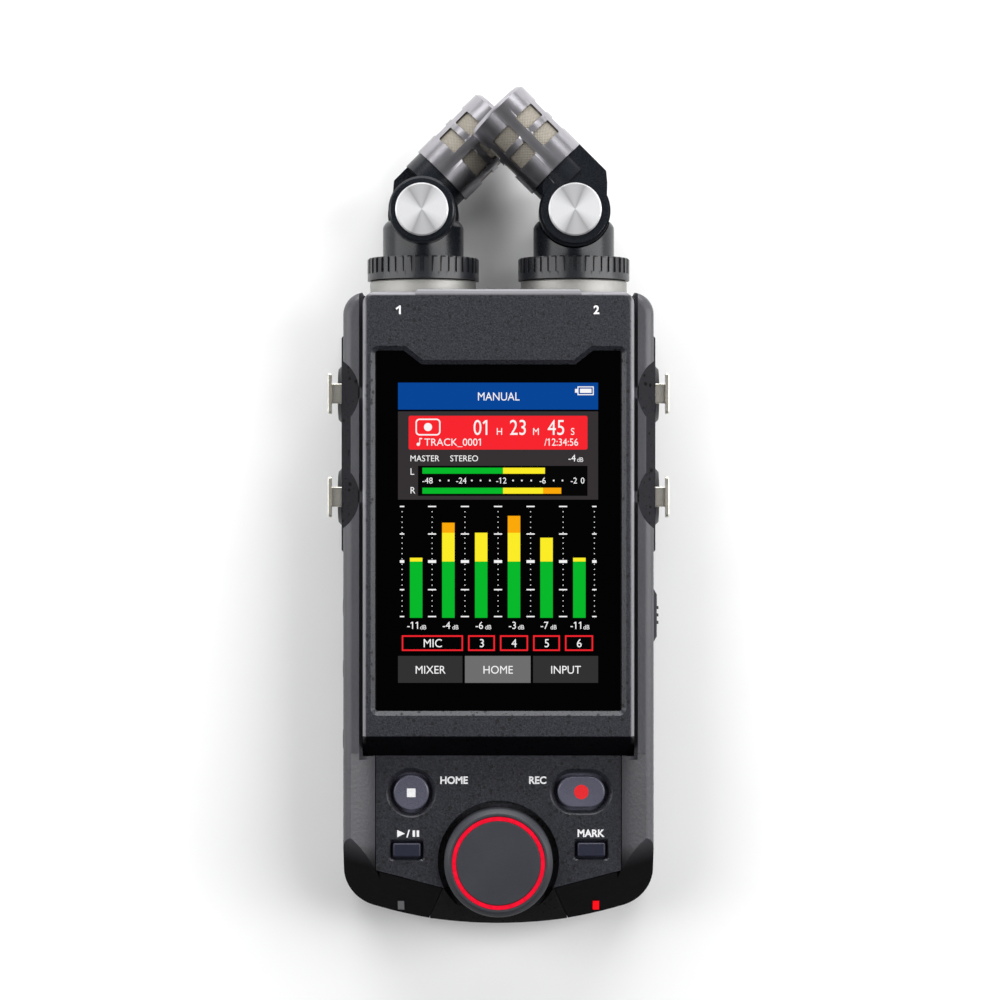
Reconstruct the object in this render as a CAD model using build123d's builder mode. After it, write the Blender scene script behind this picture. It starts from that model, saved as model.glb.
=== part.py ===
from build123d import *
import os
from math import sqrt

os.makedirs("parts", exist_ok=True)

# Portable field recorder, lying on its back. Millimetres.
# X runs across the case, Y along it towards the microphones, Z out of the screen.
# The origin is under the middle of the whole recorder, microphones included.

# Case
case_half_width = 38.5
case_top = 53.1
case_bottom = -104.5
chin_arc_radius = 109.0
chin_corner_radius = 10.0
top_corner_radius = 5.5
split_height = 15.6
bumper_height = 33.0
frame_height = 34.0
deck_height = 28.0
wall = 2.0
seam = 0.3
back_edge_radius = 3.0

# Screen frame, window and step
frame_half_width = 33.6
frame_groove = 0.9
frame_groove_floor = 30.3
step_top = -57.1
step_foot = -61.9
window_half_width = 30.5
window_bottom = -50.6
window_top = 38.6
window_bevel = 1.1
tab_half_width = 19.0
tab_bottom = 35.15
glass_height = 33.0
glass_thickness = 1.1
lip_half_width = 20.5
lip_rise = 0.6

# Deck with the keys and the jog wheel
deck_half_width = 30.6
deck_side_bottom = -90.6
deck_bottom = -95
chin_half_width = 13.8
chin_drop = 7.0
wheel_y = -88.3
wheel_radius = 13.5
wheel_well_radius = 15.1
wheel_well_floor = 24.6
wheel_ring_radius = 11.0
wheel_ring_width = 1.0
home_key = (-21.7, -71.2)
rec_key = (20.6, -71.0)
play_key = (-22.8, -85.5)
mark_key = (23.1, -85.4)
key_top = 28.6
key_foot = 23.0
lamp_x = 24.4
lamp_y = -99.85

# Side jacks
jack_rows = {"upper": 28.2, "lower": 2.4}
jack_height = 15.6
jack_radius = 9.6
jack_insert_radius = 7.3
jack_face = 40.3
jack_depth = 20.7
plug_radius = 3.25
panel_bottom = -12.5
panel_top = 43.6
panel_outer = 39.15
panel_low = 2.8
panel_high = 28.5
tab_plate_outer = 42.6
tab_lift = 8.5
scallop_radius = 9.5
scallop_reach = 34.4
scallop_web = 36.55

# Small side parts
volume_rows = {"up": -25.2, "down": -40.5}
key_side_height = 24.0
switch_y = -27.1
switch_travel = 2.2
phones_y = -58
usb_y = -44.25
mini_plug_radius = 1.8

# Boards, batteries and the back
board_low = 20.0
board_thickness = 1.6
bay_half_width = 31.6
bay_bottom = -94.15
bay_top = -38.95
cell_radius = 7.1
cell_length = 50.5
cell_pitch = 14.8
cover_half_width = 29.9
cover_top = -39.95
tripod_y = -24.0
tripod_radius = 2.55
tripod_depth = 8.0
speaker_y = 21.0

# Microphones
mic_x = 18.95
mic_height = 17.3
pivot_y = 73.5
collar_radius = 13.35
collar_top = 56.55
ring_radius = 14.0
ring_bore = 10.6
ring_top = 62.3
column_radius = 10.15
column_shoulder = 69.9
column_top = 72.1
knuckle_radius = 8.3
arm_knuckle_radius = 8.9
knuckle_half = 16.2
disc_radius = 6.56
disc_half = 16.9
pin_radius = 2.5
capsule_offset = 8.7
capsule_side = 4.25
capsule_base = 10.7
capsule_length = 21.4
capsule_radius = 8.6
capsule_wall = 0.4
mesh_thickness = 0.5
window_length = 4.1
window_width = 6.4
window_rows = (5.7, 11.5)

board_high = board_low + board_thickness
front_low = split_height + seam / 2
back_high = split_height - seam / 2


def save(part, label):
    part.label = label
    export_step(part, f"parts/{label}.step")


def case_plan(inset):
    # Outline of the whole case: straight sides, a wide arc at the chin.
    half, arc = case_half_width - inset, chin_arc_radius - inset
    corner, top_corner = chin_corner_radius - inset, top_corner_radius - inset
    top, bottom = case_top - inset, case_bottom + inset
    corner_x = half - corner
    corner_y = bottom + arc - sqrt((arc - corner) ** 2 - corner_x**2)
    reach = arc / (arc - corner)
    tangent = (corner_x * reach, bottom + arc + (corner_y - bottom - arc) * reach)
    with BuildSketch() as plan:
        with BuildLine():
            Line((0, top), (half - top_corner, top))
            RadiusArc((half - top_corner, top), (half, top - top_corner), top_corner)
            Line((half, top - top_corner), (half, corner_y))
            RadiusArc((half, corner_y), tangent, corner)
            RadiusArc(tangent, (0, bottom), arc)
            Line((0, bottom), (0, top))
        make_face()
        mirror(about=Plane.YZ)
    return plan.sketch


def window_plan(growth):
    # Screen window, with the frame's tab dipping into its top edge.
    half, low, top = window_half_width + growth, window_bottom - growth, window_top + growth
    dip, foot = tab_half_width - 0.4 * growth, tab_bottom + growth
    rise = top - foot
    with BuildSketch() as plan:
        with BuildLine():
            Polyline(
                (-half, low), (half, low), (half, top), (dip + 1.3 * rise, top), (dip, foot),
                (-dip, foot), (-dip - 1.3 * rise, top), (-half, top), close=True,
            )
        make_face()
        outer = plan.vertices().filter_by(lambda v: abs(abs(v.X) - half) < 0.01)
        fillet(outer, 0.8 + growth)
    return plan.sketch


def deck_plan(inset):
    half, chin = deck_half_width - inset, chin_half_width - 0.1
    with BuildSketch() as plan:
        Polygon(
            (-half, step_foot - inset), (half, step_foot - inset), (half, deck_side_bottom + inset),
            (chin, deck_bottom + inset), (-chin, deck_bottom + inset), (-half, deck_side_bottom + inset),
            align=None,
        )
    return plan.sketch


def side_plane(side, x, y=0.0, z=0.0):
    # Plane on a side of the case: its X runs along Y, and it faces outwards.
    return Plane(origin=(side * x, y, z), x_dir=(0, side, 0), z_dir=(side, 0, 0))


def chin_wedge(side, lift=0.0):
    # Space above the sloping facet that runs from the deck's lower edge to the end of the case.
    along = Vector(deck_half_width - chin_half_width, deck_side_bottom - deck_bottom, 0)
    edge = Vector(side * along.X, along.Y, 0).normalized()
    down = Vector(side * along.Y, -along.X, 0).normalized()
    fall = (down * 9.5 - Vector(0, 0, chin_drop)).normalized()
    start = Vector(side * chin_half_width, deck_bottom, deck_height + lift)
    normal = edge.cross(fall) * side * -1
    with BuildPart() as wedge:
        with BuildSketch(Plane(origin=start, x_dir=fall, z_dir=normal)):
            with Locations((14, 0)):
                Rectangle(52, 120)
        extrude(amount=20)
    return wedge.part


def screw_spots():
    return [(x * s, y) for s in (-1, 1) for x, y in ((30.0, 46.4), (30.0, -17.2), (33.7, -78.0))]


def key_plan(kind, growth=0.0):
    with BuildSketch() as plan:
        if kind == "home":
            Circle(4.4 + growth)
        elif kind == "rec":
            SlotOverall(11.8 + 2 * growth, 7.7 + 2 * growth)
        else:
            RectangleRounded(7.0 + 2 * growth, 3.5 + 2 * growth, 0.5)
    return plan.sketch


keys = {
    "home": (home_key, 0.8, 1.0),
    "rec": (rec_key, 0.9, 1.0),
    "play": (play_key, 0.6, 0.35),
    "mark": (mark_key, 0.6, 0.35),
}

# Rear cover: the back half of the case, with the battery opening and the speaker slots.
with BuildPart() as rear_cover:
    with BuildSketch():
        add(case_plan(0))
    extrude(amount=back_high)
    fillet(rear_cover.faces().sort_by(Axis.Z)[0].edges(), back_edge_radius)
    with BuildSketch(Plane.XY.offset(wall)):
        add(case_plan(wall))
    extrude(amount=split_height, mode=Mode.SUBTRACT)
    with BuildSketch(Plane.XY.offset(wall)):
        with Locations(*screw_spots()):
            Circle(2.0)
        with Locations((0, tripod_y)):
            Circle(7.5)
        with Locations((-29.6, -26)):
            Rectangle(13, 12)
    extrude(amount=7 - wall)
    with BuildSketch(Plane.XY.offset(wall)):
        with Locations(*screw_spots()):
            Circle(2.0)
    extrude(amount=back_high - wall)
    # Battery opening, open at the chin end so that the cover slides off
    with BuildSketch():
        with Locations((0, (cover_top + case_bottom) / 2)):
            Rectangle(2 * cover_half_width + 0.6, cover_top - case_bottom + 0.6)
    extrude(amount=2.05, mode=Mode.SUBTRACT)
    # Side openings behind the jack panels
    for side in (-1, 1):
        with BuildSketch(Plane.XY.offset(panel_low - 0.15)):
            with Locations((side * 38.05, (panel_bottom + panel_top) / 2)):
                Rectangle(8, panel_top - panel_bottom + 0.3)
        extrude(amount=20, mode=Mode.SUBTRACT)
    with BuildSketch():
        with Locations(*screw_spots()):
            Circle(1.05)
        with Locations((0, tripod_y)):
            Circle(5.05)
    extrude(amount=back_high, mode=Mode.SUBTRACT)
    with BuildSketch():
        with Locations(*screw_spots()):
            Circle(2.0)
    extrude(amount=1.6, mode=Mode.SUBTRACT)
    # Speaker slots
    with BuildSketch():
        with Locations(*[(0, speaker_y + 2.4 * i) for i in range(-2, 3)]):
            SlotOverall(12, 1.1)
    extrude(amount=wall, mode=Mode.SUBTRACT)
    # Microphone necks and the ext-in jack at the top end
    with BuildSketch(Plane.XZ.offset(-case_top)):
        with Locations((-mic_x, mic_height), (mic_x, mic_height)):
            Circle(5.2)
        with Locations((0, split_height)):
            Circle(3.4)
    extrude(amount=wall + 0.5, mode=Mode.SUBTRACT)
    # Card slot in the left side
    with BuildSketch(side_plane(-1, case_half_width, -26, 10)):
        RectangleRounded(12.4, 1.9, 0.4)
    extrude(amount=-4, mode=Mode.SUBTRACT)
save(rear_cover.part, "rear_cover")

# Battery cover: slides off towards the chin.
with BuildPart() as battery_cover:
    with BuildSketch():
        add(case_plan(0))
    extrude(amount=back_high)
    fillet(battery_cover.faces().sort_by(Axis.Z)[0].edges(), back_edge_radius)
    with BuildSketch():
        with Locations((0, (cover_top + case_bottom) / 2)):
            Rectangle(2 * cover_half_width, cover_top - case_bottom)
    extrude(amount=1.8, mode=Mode.INTERSECT)
    # Thumb grip of fine ribs
    with BuildSketch():
        with Locations(*[(0, -52 - 1.8 * i) for i in range(6)]):
            SlotOverall(22, 0.9)
    extrude(amount=0.5, mode=Mode.SUBTRACT)
save(battery_cover.part, "battery_cover")

# Front frame round the screen, with its sloping step.
with BuildPart() as front_frame:
    middle = (case_top + step_foot) / 2
    with BuildSketch(Plane.XY.offset(front_low)):
        with Locations((0, middle)):
            Rectangle(2 * frame_half_width, case_top - step_foot)
    extrude(amount=frame_height - front_low)
    uprights = front_frame.edges().filter_by(Axis.Z).sort_by(Axis.Y)
    fillet(uprights[:2], 1.8)
    fillet(uprights[2:], 3.0)
    with BuildSketch(Plane.YZ):
        Polygon(
            (step_top, frame_height), (step_foot, deck_height + 0.2), (step_foot - 1, deck_height + 0.2),
            (step_foot - 1, frame_height + 1), (step_top, frame_height + 1), align=None,
        )
    extrude(amount=frame_half_width + 1, both=True, mode=Mode.SUBTRACT)
    fillet(front_frame.faces().filter_by(Axis.Z).sort_by(Axis.Z)[-1].edges(), 1.3)
    # Raised lip at the top edge
    with BuildSketch(Plane.XY.offset(frame_height - 3)):
        lip = lip_half_width
        Polygon(
            (-lip, case_top - 1), (lip, case_top - 1), (lip, case_top), (lip - lip_rise, case_top + lip_rise),
            (-lip + lip_rise, case_top + lip_rise), (-lip, case_top), align=None,
        )
    extrude(amount=3)
    chamfer(front_frame.edges().group_by(Axis.Y)[-1].sort_by(Axis.Z)[-1], 0.4)
    # Inside: a tray open to the back, and to the deck below the step
    roof = glass_height - glass_thickness
    with BuildSketch(Plane.XY.offset(front_low)):
        with Locations((0, (case_top - wall + step_top + 0.8) / 2)):
            Rectangle(2 * (frame_half_width - wall), case_top - wall - step_top - 0.8)
    extrude(amount=roof - front_low, mode=Mode.SUBTRACT)
    with BuildSketch(Plane.XY.offset(front_low)):
        with Locations((0, step_foot + 3)):
            Rectangle(2 * (frame_half_width - wall), 8)
    extrude(amount=26 - front_low, mode=Mode.SUBTRACT)
    # Window with its bevelled edge
    with BuildSketch(Plane.XY.offset(roof)):
        add(window_plan(0))
    extrude(amount=5, mode=Mode.SUBTRACT)
    with BuildSketch(Plane.XY.offset(glass_height)):
        add(window_plan(0))
    with BuildSketch(Plane.XY.offset(frame_height + 0.01)):
        add(window_plan(window_bevel))
    loft(mode=Mode.SUBTRACT)
    # Screw bosses
    with BuildSketch(Plane.XY.offset(front_low)):
        with Locations(*[spot for spot in screw_spots() if spot[1] > step_foot]):
            Circle(2.4)
            Circle(1.0, mode=Mode.SUBTRACT)
    extrude(amount=28 - front_low)
    # Side walls open round the four jacks and the small sockets
    for side in (-1, 1):
        for row in jack_rows.values():
            with BuildSketch(side_plane(side, frame_half_width - wall - 1, row, jack_height)):
                Circle(jack_radius + 0.3)
            extrude(amount=wall + 2, mode=Mode.SUBTRACT)
        with BuildSketch(side_plane(side, frame_half_width - wall - 1, phones_y, key_side_height)):
            Circle(2.9)
        extrude(amount=wall + 2, mode=Mode.SUBTRACT)
    with BuildSketch(side_plane(1, frame_half_width - wall - 1, usb_y, key_side_height)):
        RectangleRounded(9.3, 3.6, 1.5)
    extrude(amount=wall + 2, mode=Mode.SUBTRACT)
    with BuildSketch(Plane.XZ.offset(-case_top)):
        with Locations((-mic_x, mic_height), (mic_x, mic_height)):
            Circle(5.2)
        with Locations((0, split_height)):
            Circle(3.4)
    extrude(amount=wall + 0.5, mode=Mode.SUBTRACT)
save(front_frame.part, "front_frame")

# Touch glass and the display bonded behind it.
with BuildPart() as touch_glass:
    with BuildSketch(Plane.XY.offset(glass_height - glass_thickness)):
        add(window_plan(-0.1))
    extrude(amount=glass_thickness)
save(touch_glass.part, "touch_glass")

with BuildPart() as display_module:
    with BuildSketch(Plane.XY.offset(28.8)):
        with Locations((0, -6.55)):
            RectangleRounded(54.8, 80, 0.8)
    extrude(amount=glass_height - glass_thickness - 28.8)
save(display_module.part, "display_module")

# Deck panel: key holes in shallow dishes, and the upper part of the wheel well.
with BuildPart() as deck_panel:
    with BuildSketch(Plane.XY.offset(deck_height - wall)):
        add(deck_plan(0.1))
    extrude(amount=wall)
    with BuildSketch(Plane.XY.offset(wheel_well_floor - 1.2)):
        with Locations((0, wheel_y)):
            Circle(wheel_well_radius + 1)
        add(deck_plan(0.1), mode=Mode.INTERSECT)
    extrude(amount=deck_height - wheel_well_floor)
    with BuildSketch(Plane.XY.offset(wheel_well_floor)):
        with Locations((0, wheel_y)):
            Circle(wheel_well_radius)
    extrude(amount=10, mode=Mode.SUBTRACT)
    with BuildSketch(Plane.XY.offset(20)):
        with Locations((0, wheel_y)):
            Circle(4.2)
    extrude(amount=10, mode=Mode.SUBTRACT)
    for kind, (spot, gap, dish) in keys.items():
        with BuildSketch(Plane.XY.offset(deck_height - wall)):
            with Locations(spot):
                add(key_plan(kind, gap))
        extrude(amount=wall, mode=Mode.SUBTRACT)
        with BuildSketch(Plane.XY.offset(deck_height - 0.8 * dish)):
            with Locations(spot):
                add(key_plan(kind, gap))
        with BuildSketch(Plane.XY.offset(deck_height + 0.01)):
            with Locations(spot):
                add(key_plan(kind, gap + dish))
        loft(mode=Mode.SUBTRACT)
save(deck_panel.part, "deck_panel")

# Chin piece under the wheel, between the two bumpers.
with BuildPart() as chin_piece:
    with BuildSketch(Plane.XY.offset(front_low)) as chin_plan:
        add(case_plan(0))
        low_half = chin_half_width + 3.5
        Polygon(
            (-chin_half_width, deck_bottom), (chin_half_width, deck_bottom), (low_half, case_bottom + 1.2),
            (low_half, case_bottom - 1), (-low_half, case_bottom - 1), (-low_half, case_bottom + 1.2),
            align=None, mode=Mode.INTERSECT,
        )
    extrude(amount=deck_height - front_low)
    with BuildSketch(Plane.YZ):
        Polygon(
            (deck_bottom, deck_height), (deck_bottom - 9.5, deck_height - chin_drop),
            (deck_bottom - 20, deck_height - chin_drop), (deck_bottom - 20, deck_height + 1),
            (deck_bottom, deck_height + 1), align=None,
        )
    extrude(amount=30, both=True, mode=Mode.SUBTRACT)
    with BuildSketch(Plane.XY.offset(wheel_well_floor)):
        with Locations((0, wheel_y)):
            Circle(wheel_well_radius)
    extrude(amount=10, mode=Mode.SUBTRACT)
save(chin_piece.part, "chin_piece")


def make_bumper(side):
    name = "left" if side < 0 else "right"
    with BuildPart() as bumper:
        with BuildSketch(Plane.XY.offset(front_low)):
            add(case_plan(0))
        extrude(amount=bumper_height - front_low)
        fillet(bumper.faces().sort_by(Axis.Z)[-1].edges(), 2.4)
        # Clear the frame, the deck, the chin piece and the other half
        with BuildSketch(Plane.XY.offset(front_low)):
            with Locations((-side * 25, 0)):
                Rectangle(50, 300)
            with Locations((0, 20)):
                Rectangle(2 * frame_half_width + 0.3, 2 * (20 - step_foot) + 0.2)
            add(deck_plan(-0.1))
            Polygon(
                (0, deck_bottom + 1), (side * (chin_half_width + 0.1), deck_bottom + 0.2),
                (side * (chin_half_width + 3.65), case_bottom + 1.2),
                (side * (chin_half_width + 3.65), case_bottom - 2), (0, case_bottom - 2), align=None,
            )
        extrude(amount=30, mode=Mode.SUBTRACT)
        # Dark groove round the frame
        with BuildSketch(Plane.XY.offset(frame_groove_floor)):
            with Locations((0, 20)):
                Rectangle(2 * (frame_half_width + frame_groove), 2 * (20 - step_foot + frame_groove))
        extrude(amount=10, mode=Mode.SUBTRACT)
        # Rounded inner slope down to the deck, and the facet at the chin
        with BuildSketch(Plane.XZ.offset(-step_foot - frame_groove)):
            with BuildLine():
                low_end = (side * (deck_half_width - 1), deck_height - 1.4)
                high_end = (side * (case_half_width - 1.9), bumper_height + 0.01)
                ThreePointArc(low_end, (side * (deck_half_width + 2.0), deck_height + 2.3), high_end)
                Polyline(high_end, (high_end[0], 40), (low_end[0], 40), low_end)
            make_face()
        extrude(amount=60, mode=Mode.SUBTRACT)
        add(chin_wedge(side), mode=Mode.SUBTRACT)
        # Room for the battery tray, and for the jack panel with a scallop above each jack
        with BuildSketch(Plane.XY.offset(front_low)):
            with Locations((0, (bay_bottom + step_foot) / 2)):
                Rectangle(2 * bay_half_width + 0.6, step_foot - bay_bottom + 0.6)
        extrude(amount=3.3, mode=Mode.SUBTRACT)
        with BuildSketch(Plane.XY.offset(front_low)):
            with Locations((side * 38, (panel_bottom + panel_top) / 2)):
                Rectangle(9, panel_top - panel_bottom + 0.3)
        extrude(amount=panel_high + 0.15 - front_low, mode=Mode.SUBTRACT)
        with BuildSketch(Plane.XY.offset(panel_high)):
            with Locations(*[(side * (scallop_reach + scallop_radius), row) for row in jack_rows.values()]):
                Circle(scallop_radius)
            with Locations((side * (scallop_web + 3), (jack_rows["upper"] + jack_rows["lower"]) / 2)):
                Rectangle(6, jack_rows["upper"] - jack_rows["lower"])
        extrude(amount=10, mode=Mode.SUBTRACT)
        with BuildSketch(Plane.XY.offset(front_low)):
            with Locations(*[spot for spot in screw_spots() if spot[1] < step_foot]):
                Circle(1.0)
        extrude(amount=8, mode=Mode.SUBTRACT)
        with BuildSketch(Plane.XY.offset(front_low)):
            with Locations((side * lamp_x, lamp_y)):
                Rectangle(1.8, 2.5)
        extrude(amount=20, mode=Mode.SUBTRACT)
        if side < 0:
            for row in (*volume_rows.values(), phones_y):
                with BuildSketch(side_plane(side, 33, row, key_side_height)):
                    Circle(2.75)
                extrude(amount=8, mode=Mode.SUBTRACT)
        else:
            # Hump round the slide switch, with its slot
            with BuildSketch(Plane.XY.offset(key_side_height - 4)):
                Polygon(
                    (side * 38, switch_y - 6.8), (side * 38.5, switch_y - 6.8), (side * 39.4, switch_y - 5.2),
                    (side * 39.4, switch_y + 5.2), (side * 38.5, switch_y + 6.8), (side * 38, switch_y + 6.8),
                    align=None,
                )
            extrude(amount=8)
            with BuildSketch(side_plane(side, 36.1, switch_y, key_side_height)):
                RectangleRounded(5.6 + 2 * switch_travel, 4.6, 0.5)
            extrude(amount=8, mode=Mode.SUBTRACT)
            with BuildSketch(side_plane(side, 33, phones_y, key_side_height)):
                Circle(2.75)
            extrude(amount=8, mode=Mode.SUBTRACT)
            with BuildSketch(side_plane(side, 33, usb_y, key_side_height)):
                RectangleRounded(9.3, 3.6, 1.5)
            extrude(amount=8, mode=Mode.SUBTRACT)
    save(bumper.part, f"{name}_bumper")
    # Indicator lamp in the chin facet
    with BuildPart() as lamp:
        with BuildSketch(Plane.XY.offset(front_low + 1)):
            with Locations((side * lamp_x, lamp_y)):
                Rectangle(1.6, 2.3)
        extrude(amount=12)
        add(chin_wedge(side, lift=0.25), mode=Mode.SUBTRACT)
    save(lamp.part, "peak_lamp" if side < 0 else "rec_lamp")


def make_jack_panel(side):
    name = "left" if side < 0 else "right"
    with BuildPart() as panel:
        with BuildSketch(Plane.XZ.offset(-panel_top)):
            Polygon(
                (side * 34.2, panel_low), (side * (panel_outer - 3.2), panel_low), (side * panel_outer, panel_low + 3),
                (side * panel_outer, panel_high - 2.9), (side * (panel_outer - 4.2), panel_high),
                (side * 34.2, panel_high), align=None,
            )
        extrude(amount=panel_top - panel_bottom)
        ends = panel.faces().filter_by(Axis.X).sort_by(Axis.X)[0 if side < 0 else -1]
        chamfer(ends.edges().filter_by(Axis.Z), 1.6)
        for row in jack_rows.values():
            with BuildSketch(side_plane(side, 33, row, jack_height)):
                Circle(jack_radius + 0.2)
            extrude(amount=10, mode=Mode.SUBTRACT)
    save(panel.part, f"{name}_jack_panel")


def make_jack(side, row_name):
    name = "left" if side < 0 else "right"
    row = jack_rows[row_name]
    face = side_plane(side, jack_face, row, jack_height)
    with BuildPart() as jack:
        with BuildSketch(side_plane(side, panel_outer - 0.3, row, jack_height)):
            Circle(jack_radius)
        extrude(amount=-jack_depth)
        with BuildSketch(face):
            Circle(jack_insert_radius)
        extrude(amount=-jack_depth)
        chamfer(jack.faces().sort_by(Axis.X)[0 if side < 0 else -1].edges(), 0.9)
        # Shell slot of the larger plug, and the centre hole of the smaller one
        with BuildSketch(face):
            Circle(jack_radius - 0.4)
            Circle(jack_insert_radius, mode=Mode.SUBTRACT)
        extrude(amount=-13, mode=Mode.SUBTRACT)
        with BuildSketch(face):
            Circle(plug_radius)
        extrude(amount=-18, mode=Mode.SUBTRACT)
        with BuildSketch(face):
            with PolarLocations(5.0, 3, start_angle=90):
                Circle(1.2)
        extrude(amount=-12, mode=Mode.SUBTRACT)
        # Channel of the release tab
        with BuildSketch(face):
            with Locations((0, tab_lift)):
                Rectangle(5.6, 2.0)
        extrude(amount=-9.6, mode=Mode.SUBTRACT)
    save(jack.part, f"combo_jack_{name}_{row_name}")
    with BuildPart() as tab:
        with BuildSketch(side_plane(side, 32.4, row, jack_height + tab_lift)):
            RectangleRounded(5.0, 1.5, 0.3)
        extrude(amount=tab_plate_outer - 32.9)
        with BuildSketch(side_plane(side, tab_plate_outer - 0.9, row, jack_height + tab_lift)):
            RectangleRounded(10.3, 3.6, 0.8)
        extrude(amount=0.9)
        chamfer(tab.faces().sort_by(Axis.X)[0 if side < 0 else -1].edges(), 0.25)
    save(tab.part, f"release_tab_{name}_{row_name}")


for side in (-1, 1):
    make_bumper(side)
    make_jack_panel(side)
    for row_name in jack_rows:
        make_jack(side, row_name)

# Keys on the deck: a cap that stands just proud and a wider foot that keeps it in.
for kind, (spot, gap, dish) in keys.items():
    with BuildPart() as key:
        with BuildSketch(Plane.XY.offset(key_foot)):
            with Locations(spot):
                add(key_plan(kind))
        extrude(amount=key_top - key_foot)
        rim = key.faces().sort_by(Axis.Z)[-1].edges()
        fillet(rim, 0.45)
        with BuildSketch(Plane.XY.offset(key_foot)):
            with Locations(spot):
                add(key_plan(kind, gap + 0.5))
        extrude(amount=2.4)
    save(key.part, f"{kind}_button")

# Jog wheel on its encoder, with the ring let into its face.
with BuildPart() as jog_wheel:
    with BuildSketch(Plane.XY.offset(wheel_well_floor + 0.6)):
        with Locations((0, wheel_y)):
            Circle(wheel_radius)
    extrude(amount=bumper_height - wheel_well_floor - 0.6)
    chamfer(jog_wheel.faces().sort_by(Axis.Z)[-1].edges(), 1.2)
    with BuildSketch(Plane.XY.offset(bumper_height)):
        with Locations((0, wheel_y)):
            Circle(wheel_ring_radius + wheel_ring_width / 2 + 0.05)
            Circle(wheel_ring_radius - wheel_ring_width / 2 - 0.05, mode=Mode.SUBTRACT)
    extrude(amount=-0.8, mode=Mode.SUBTRACT)
    with BuildSketch(Plane.XY.offset(wheel_well_floor)):
        with Locations((0, wheel_y)):
            Circle(3.06)
    extrude(amount=6.6, mode=Mode.SUBTRACT)
save(jog_wheel.part, "jog_wheel")

with BuildPart() as wheel_ring:
    with BuildSketch(Plane.XY.offset(bumper_height - 0.8)):
        with Locations((0, wheel_y)):
            Circle(wheel_ring_radius + wheel_ring_width / 2)
            Circle(wheel_ring_radius - wheel_ring_width / 2, mode=Mode.SUBTRACT)
    extrude(amount=0.8)
save(wheel_ring.part, "wheel_ring")

with BuildPart() as wheel_encoder:
    with Locations((0, wheel_y, board_high)):
        Box(11.6, 11.6, 1.6, align=(Align.CENTER, Align.CENTER, Align.MIN))
        Cylinder(3.9, 3.4, align=(Align.CENTER, Align.CENTER, Align.MIN))
        Cylinder(3.0, 9.2, align=(Align.CENTER, Align.CENTER, Align.MIN))
save(wheel_encoder.part, "wheel_encoder")

# Slide switch and volume keys on the sides.
with BuildPart() as power_switch:
    with BuildSketch(side_plane(1, 36.4, switch_y, key_side_height)):
        RectangleRounded(5.2, 4.2, 0.4)
    extrude(amount=3.0)
    with BuildSketch(side_plane(1, 39.3, switch_y, key_side_height)):
        with GridLocations(1.85, 1, 3, 1):
            Rectangle(0.7, 4.0)
    extrude(amount=0.6)
save(power_switch.part, "power_switch")

for way, row in volume_rows.items():
    with BuildPart() as volume_button:
        with BuildSketch(side_plane(-1, 34.9, row, key_side_height)):
            Circle(2.55)
        extrude(amount=3.9)
        fillet(volume_button.faces().sort_by(Axis.X)[0].edges(), 0.25)
    save(volume_button.part, f"volume_{way}_button")


def make_mini_jack(label, side, out):
    # 3.5 mm socket on the board, its round nose in the side of the case.
    with BuildPart() as jack:
        with Locations((side * 25.5, phones_y, board_high)):
            Box(12, 6.4, 4.2, align=(Align.CENTER, Align.CENTER, Align.MIN))
        with BuildSketch(side_plane(side, 31.0, phones_y, key_side_height)):
            Circle(2.55)
        extrude(amount=out - 31.0)
        with BuildSketch(side_plane(side, out, phones_y, key_side_height)):
            Circle(mini_plug_radius)
        extrude(amount=-14, mode=Mode.SUBTRACT)
    save(jack.part, label)


make_mini_jack("phones_jack", -1, 38.8)
make_mini_jack("line_out_jack", 1, 38.4)

with BuildPart() as ext_in_jack:
    with BuildSketch(Plane.XZ.offset(-case_top - 0.2)):
        with Locations((0, split_height)):
            Circle(3.1)
    extrude(amount=3)
    with BuildSketch(Plane.XZ.offset(-case_top + 2.3)):
        with Locations((0, split_height)):
            Rectangle(7, 6.4)
    extrude(amount=12)
    with BuildSketch(Plane.XZ.offset(-case_top - 0.2)):
        with Locations((0, split_height)):
            Circle(mini_plug_radius)
    extrude(amount=14, mode=Mode.SUBTRACT)
save(ext_in_jack.part, "ext_in_jack")

with BuildPart() as usb_port:
    with BuildSketch(side_plane(1, 38.2, usb_y, key_side_height)):
        RectangleRounded(8.94, 3.2, 1.5)
    extrude(amount=-11)
    with BuildSketch(side_plane(1, 38.2, usb_y, key_side_height)):
        RectangleRounded(8.34, 2.6, 1.25)
        RectangleRounded(6.7, 0.7, 0.3, mode=Mode.SUBTRACT)
    extrude(amount=-6.5, mode=Mode.SUBTRACT)
    with Locations((29.2, usb_y, board_high)):
        Box(4, 6, 1.2, align=(Align.CENTER, Align.CENTER, Align.MIN))
save(usb_port.part, "usb_port")

with BuildPart() as card_socket:
    with BuildSketch(side_plane(-1, 36.3, -26, 10)):
        Rectangle(12.0, 6.0)
    extrude(amount=-12.6)
    with BuildSketch(side_plane(-1, 36.3, -26, 10)):
        Rectangle(11.2, 1.2)
    extrude(amount=-11.6, mode=Mode.SUBTRACT)
save(card_socket.part, "card_socket")

# Main board: wide under the keys, narrow between the jacks, with the key switches on it.
with BuildPart() as main_board:
    with BuildSketch(Plane.XY.offset(board_low)):
        with Locations((0, -55)):
            Rectangle(60, 69)
        with Locations((0, 12)):
            Rectangle(34, 68)
        with Locations((0, -91)):
            Rectangle(22, 7)
    extrude(amount=board_thickness)
    with BuildSketch(Plane.XY.offset(board_high)):
        with Locations(home_key, rec_key, play_key, mark_key):
            Rectangle(3.4, 3.0)
    extrude(amount=0.6)
    with BuildSketch(Plane.XY.offset(board_high)):
        with Locations((0, -30), (-12, -46), (9, 4), (-6, 24)):
            Rectangle(11, 11)
        with Locations((12, -44), (-9, 6), (6, 30)):
            Rectangle(6, 4)
    extrude(amount=1.1)
save(main_board.part, "main_board")

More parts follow.
